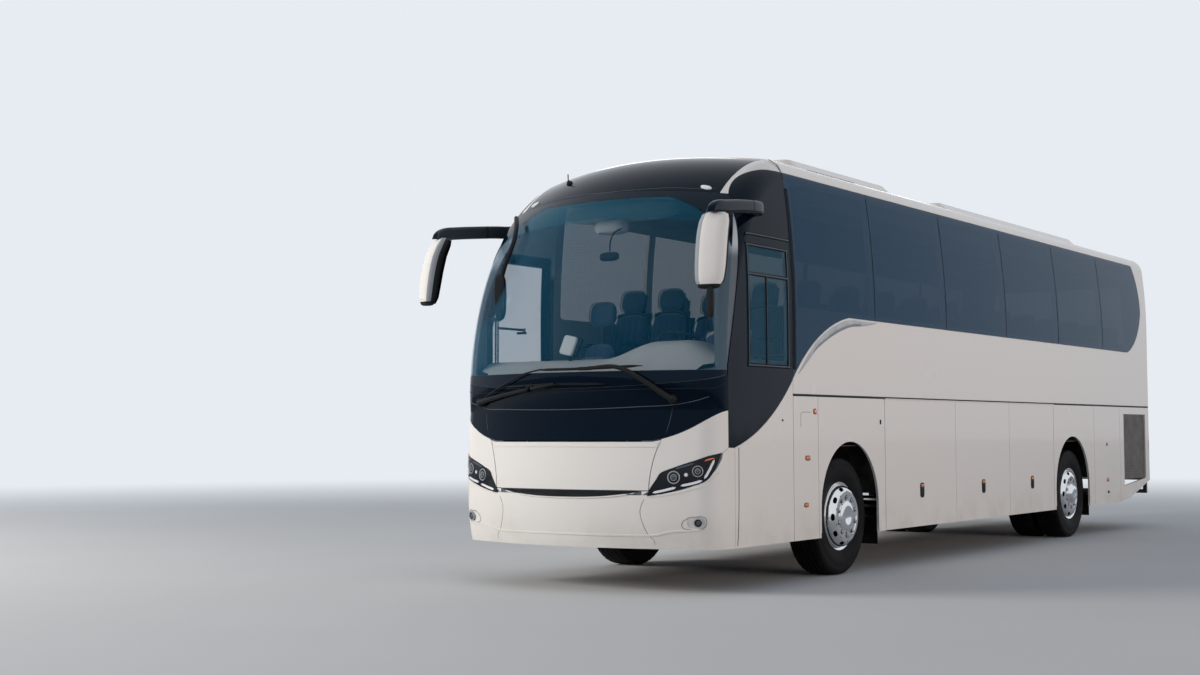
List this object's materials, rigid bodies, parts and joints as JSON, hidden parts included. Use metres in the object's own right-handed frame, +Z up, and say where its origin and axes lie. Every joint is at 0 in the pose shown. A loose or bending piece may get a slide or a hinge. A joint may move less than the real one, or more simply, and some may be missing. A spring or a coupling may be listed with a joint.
{
  "type": "coach bus",
  "caption": "Two-axle touring coach with hollow cabin, glazed sides, opening luggage doors, entry door, service flaps, steered front wheels and spinning wheels.",
  "frame": {"origin": "on the ground, at the middle of the length, width", "axes": "+Z up, -Y towards the front of the bus, +X towards its left side"},
  "size_m": [3.062, 12.075, 3.825],
  "materials": {
    "paint_white": "gloss white paint",
    "gloss_black": "gloss black",
    "glass_clear": "clear green-tinted laminated glass",
    "glass_tint": "dark tinted bonded glass",
    "frame_steel": "dark grey chassis paint",
    "trim_grey": "light grey moulded trim",
    "plastic_black": "black moulding",
    "tyre": "black rubber",
    "rim_bright": "polished",
    "axle_paint": "black paint",
    "rubber_black": "black rubber",
    "seat_fabric": "dark blue cloth",
    "floor_vinyl": "grey floor covering",
    "lamp_clear": "clear lens",
    "lamp_red": "red lens",
    "engine_paint": "grey paint"
  },
  "bodies": {
    "body": {"windscreen": "glass_clear", "front_cap": "gloss_black", "front_mask": "gloss_black", "bumper_front": "paint_white", "headlamps": "lamp_clear", "cab_frame": "plastic_black", "body_sides": "paint_white", "quarter_panels": "gloss_black", "side_glazing": "glass_tint", "roof_shell": "paint_white", "cant_rails": "paint_white", "roof_pods": "paint_white", "rear_body": "paint_white", "rear_window": "glass_tint", "tail_lamps": "lamp_red", "bumper_rear": "paint_white", "flank_panels": "paint_white", "rub_rails": "plastic_black", "side_grilles": "plastic_black", "front_axle": "axle_paint", "rear_axle": "axle_paint", "chassis_frame": "frame_steel", "wheel_housings": "plastic_black", "mudflaps": "rubber_black", "floor_deck": "floor_vinyl", "passenger_seats": "seat_fabric", "cab_seats": "seat_fabric", "luggage_racks": "trim_grey", "dashboard": "trim_grey", "engine_block": "engine_paint", "mirror_arms": "plastic_black", "mirror_heads": "paint_white", "wipers": "plastic_black"},
    "front_flap": {"front_flap": "paint_white"},
    "engine_lid": {"engine_lid": "paint_white"},
    "entry_arm": {"entry_door_arm": "frame_steel"},
    "entry_leaf": {"entry_door": "gloss_black", "entry_door_glass": "glass_tint"},
    "knuckle_left": {"knuckle_left": "axle_paint"},
    "knuckle_right": {"knuckle_right": "axle_paint"},
    "wheel_front_left": {"tyre_front_left": "tyre", "rim_front_left": "rim_bright"},
    "wheel_front_right": {"tyre_front_right": "tyre", "rim_front_right": "rim_bright"},
    "wheels_rear_left": {"tyres_rear_left": "tyre", "rims_rear_left": "rim_bright"},
    "wheels_rear_right": {"tyres_rear_right": "tyre", "rims_rear_right": "rim_bright"},
    "steering_wheel": {"steering_wheel": "plastic_black"},
    "luggage_door_left_1": {"luggage_door_left_1": "paint_white"},
    "luggage_door_left_2": {"luggage_door_left_2": "paint_white"},
    "luggage_door_left_3": {"luggage_door_left_3": "paint_white"},
    "luggage_door_right_1": {"luggage_door_right_1": "paint_white"},
    "luggage_door_right_2": {"luggage_door_right_2": "paint_white"},
    "luggage_door_right_3": {"luggage_door_right_3": "paint_white"}
  },
  "joints": [
    {"name": "steer_left", "type": "hinge", "parent": "body", "child": "knuckle_left", "pos_m": [0.93, -3.3615, 0.522], "axis": [0, 0, 1], "range_deg": [-40, 40]},
    {"name": "steer_right", "type": "hinge", "parent": "body", "child": "knuckle_right", "pos_m": [-0.93, -3.3615, 0.522], "axis": [0, 0, 1], "range_deg": [-40, 40]},
    {"name": "steering_wheel_turn", "type": "hinge", "parent": "body", "child": "steering_wheel", "pos_m": [0.64, -5.0875, 1.97], "axis": [0, 0.5736, 0.8192], "range_deg": [-720, 720]},
    {"name": "front_left_spin", "type": "hinge", "parent": "knuckle_left", "child": "wheel_front_left", "pos_m": [1.06, -3.3615, 0.522], "axis": [1, 0, 0], "continuous": true},
    {"name": "front_right_spin", "type": "hinge", "parent": "knuckle_right", "child": "wheel_front_right", "pos_m": [-1.06, -3.3615, 0.522], "axis": [1, 0, 0], "continuous": true},
    {"name": "rear_left_spin", "type": "hinge", "parent": "body", "child": "wheels_rear_left", "pos_m": [0.9, 2.7895, 0.522], "axis": [1, 0, 0], "continuous": true},
    {"name": "rear_right_spin", "type": "hinge", "parent": "body", "child": "wheels_rear_right", "pos_m": [-0.9, 2.7895, 0.522], "axis": [1, 0, 0], "continuous": true},
    {"name": "luggage_left_1_open", "type": "hinge", "parent": "body", "child": "luggage_door_left_1", "pos_m": [1.279, -1.7255, 1.577], "axis": [0, -1, 0], "range_deg": [0, 105]},
    {"name": "luggage_left_2_open", "type": "hinge", "parent": "body", "child": "luggage_door_left_2", "pos_m": [1.279, -0.1275, 1.577], "axis": [0, -1, 0], "range_deg": [0, 105]},
    {"name": "luggage_left_3_open", "type": "hinge", "parent": "body", "child": "luggage_door_left_3", "pos_m": [1.279, 1.335, 1.577], "axis": [0, -1, 0], "range_deg": [0, 105]},
    {"name": "luggage_right_1_open", "type": "hinge", "parent": "body", "child": "luggage_door_right_1", "pos_m": [-1.279, -1.7255, 1.577], "axis": [0, 1, 0], "range_deg": [0, 105]},
    {"name": "luggage_right_2_open", "type": "hinge", "parent": "body", "child": "luggage_door_right_2", "pos_m": [-1.279, -0.1275, 1.577], "axis": [0, 1, 0], "range_deg": [0, 105]},
    {"name": "luggage_right_3_open", "type": "hinge", "parent": "body", "child": "luggage_door_right_3", "pos_m": [-1.279, 1.335, 1.577], "axis": [0, 1, 0], "range_deg": [0, 105]},
    {"name": "front_flap_open", "type": "hinge", "parent": "body", "child": "front_flap", "pos_m": [0, -5.8325, 1.3], "axis": [-1, 0, 0], "range_deg": [0, 65]},
    {"name": "engine_lid_open", "type": "hinge", "parent": "body", "child": "engine_lid", "pos_m": [0, 6.0305, 1.647], "axis": [1, 0, 0], "range_deg": [0, 80]},
    {"name": "entry_arm_swing", "type": "hinge", "parent": "body", "child": "entry_arm", "pos_m": [-1.185, -5.2875, 1.9], "axis": [0, 0, 1], "range_deg": [0, 110]},
    {"name": "entry_leaf_turn", "type": "hinge", "parent": "entry_arm", "child": "entry_leaf", "pos_m": [-1.185, -4.8875, 1.9], "axis": [0, 0, 1], "range_deg": [-110, 0]}
  ],
  "couplings": [
    {"joint": "steer_right", "follows": "steer_left", "ratio": 1},
    {"joint": "steering_wheel_turn", "follows": "steer_left", "ratio": 18},
    {"joint": "entry_leaf_turn", "follows": "entry_arm_swing", "ratio": -1}
  ]
}
